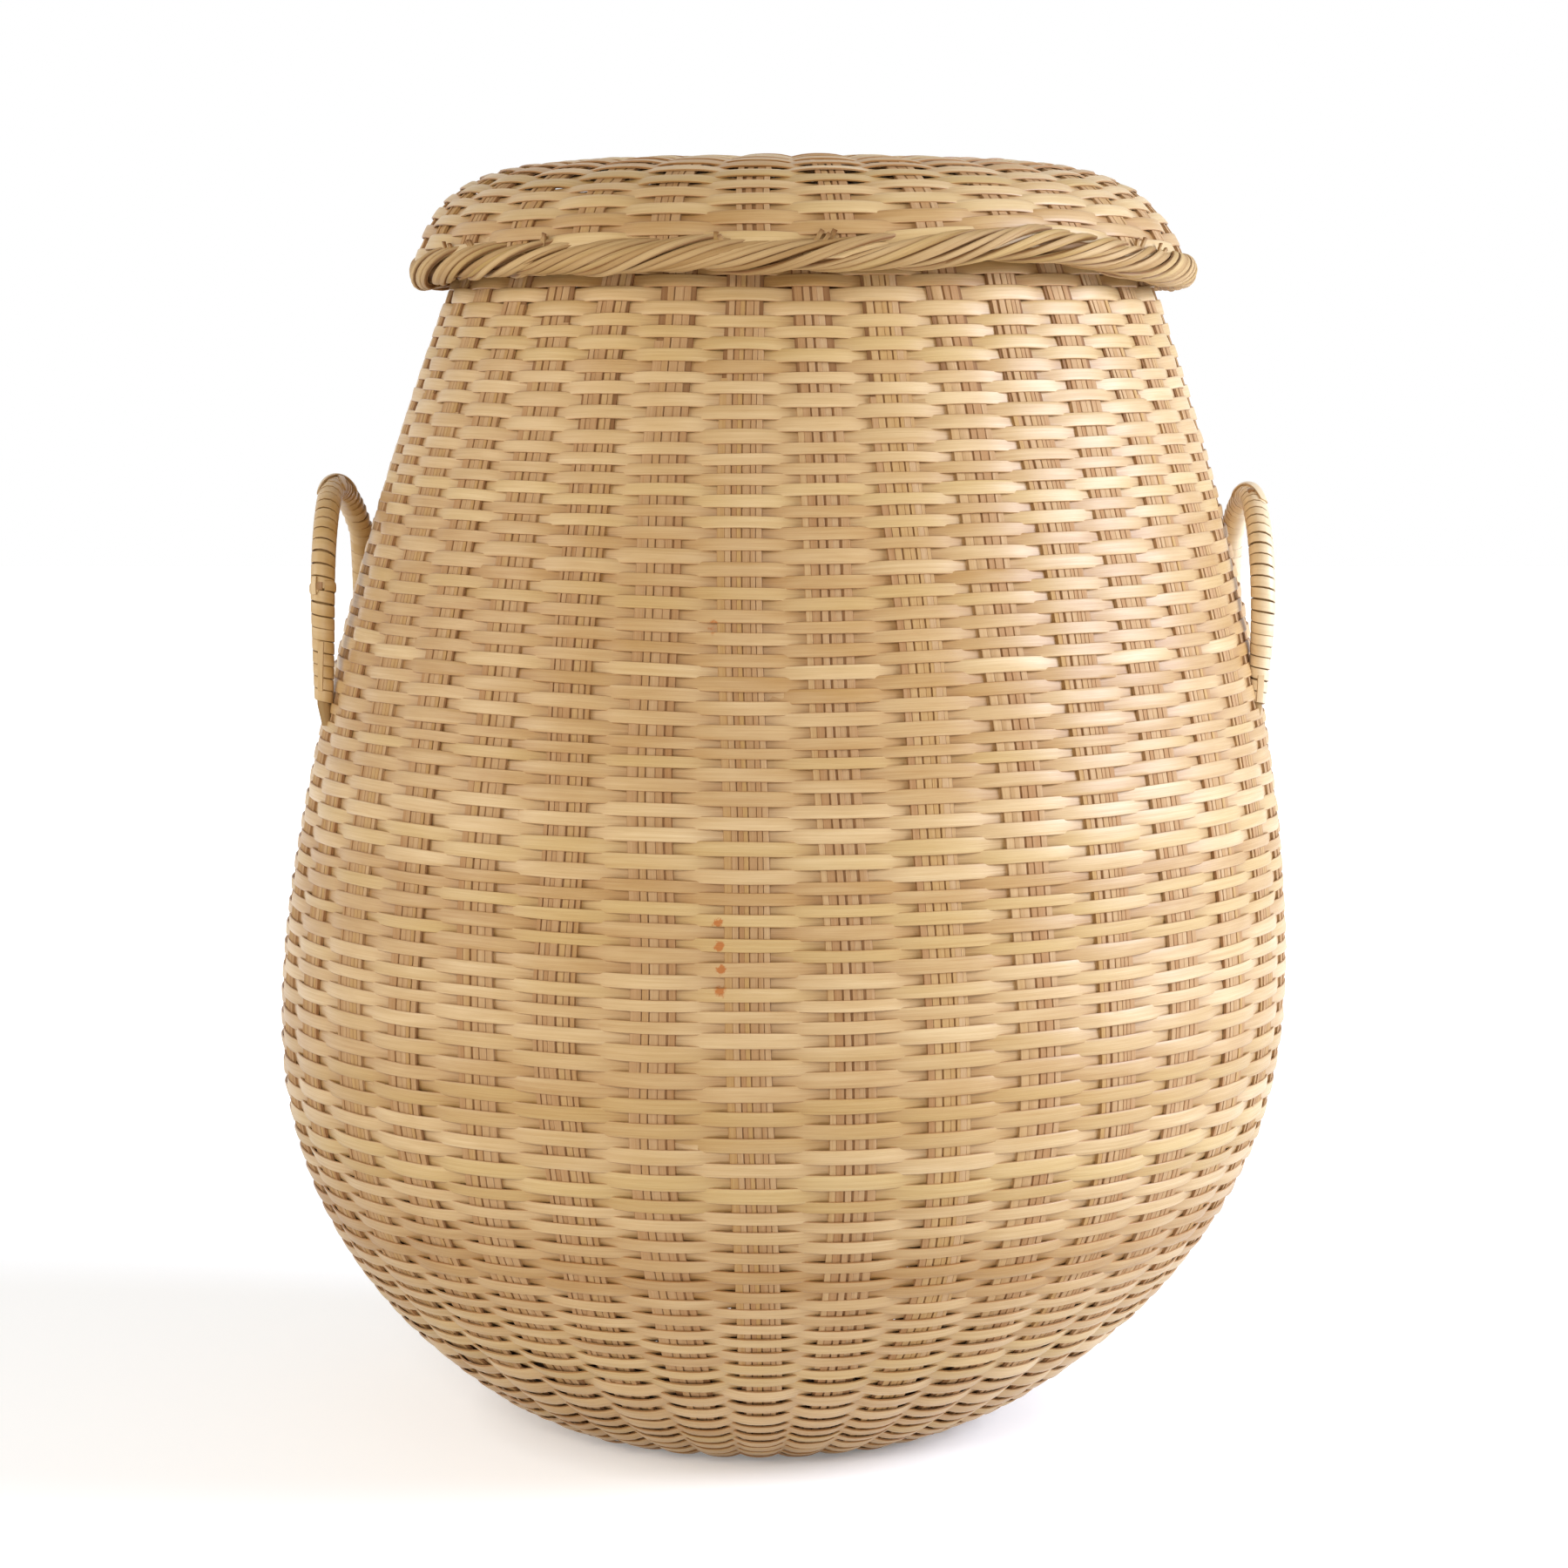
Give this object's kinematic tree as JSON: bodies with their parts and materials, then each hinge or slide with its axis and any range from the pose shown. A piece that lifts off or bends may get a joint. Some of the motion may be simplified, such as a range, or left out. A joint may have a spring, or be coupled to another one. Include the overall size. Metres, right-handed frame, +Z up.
{
  "type": "lidded cane basket",
  "caption": "Tall pear-shaped lidded basket woven of flat cane over splint stakes, with a domed overhanging lid and a bound hoop handle at each side.",
  "frame": {"origin": "on the floor, under the middle of the belly", "axes": "+Z up, +X to the right handle as seen from the front, which faces -Y"},
  "size_m": [0.4028, 0.403, 0.5018],
  "materials": {
    "weaver_cane": "natural unvarnished flat cane with a faint sheen",
    "stake_splint": "matt split cane core, pinkish tan",
    "border_cane": "matt twisted splints",
    "handle_core": "matt round cane",
    "handle_strip": "natural flat cane with a faint sheen"
  },
  "bodies": {
    "basket": {"woven_wall": "weaver_cane", "base_cross": "stake_splint", "mouth_border": "border_cane", "left_handle_core": "handle_core", "left_handle_binding": "handle_strip", "left_handle_tie": "handle_strip", "right_handle_core": "handle_core", "right_handle_binding": "handle_strip", "stake_01": "stake_splint", "stake_02": "stake_splint", "stake_03": "stake_splint", "stake_04": "stake_splint", "stake_05": "stake_splint", "stake_06": "stake_splint", "stake_07": "stake_splint", "stake_08": "stake_splint", "stake_09": "stake_splint", "stake_10": "stake_splint", "stake_11": "stake_splint", "stake_12": "stake_splint", "stake_13": "stake_splint", "stake_14": "stake_splint", "stake_15": "stake_splint", "stake_16": "stake_splint", "stake_17": "stake_splint", "stake_18": "stake_splint", "stake_19": "stake_splint", "stake_20": "stake_splint", "stake_21": "stake_splint", "stake_22": "stake_splint", "stake_23": "stake_splint", "stake_24": "stake_splint", "stake_25": "stake_splint", "stake_26": "stake_splint", "stake_27": "stake_splint", "stake_28": "stake_splint", "stake_29": "stake_splint", "stake_30": "stake_splint", "stake_31": "stake_splint", "stake_32": "stake_splint", "stake_33": "stake_splint", "stake_34": "stake_splint", "stake_35": "stake_splint"},
    "lid": {"lid_wall": "weaver_cane", "lid_stakes": "stake_splint", "lid_border": "border_cane"}
  },
  "joints": [
    {"name": "lid_lift", "type": "slide", "parent": "basket", "child": "lid", "axis": [0, 0, 1], "range_m": [0, 0.15]}
  ]
}
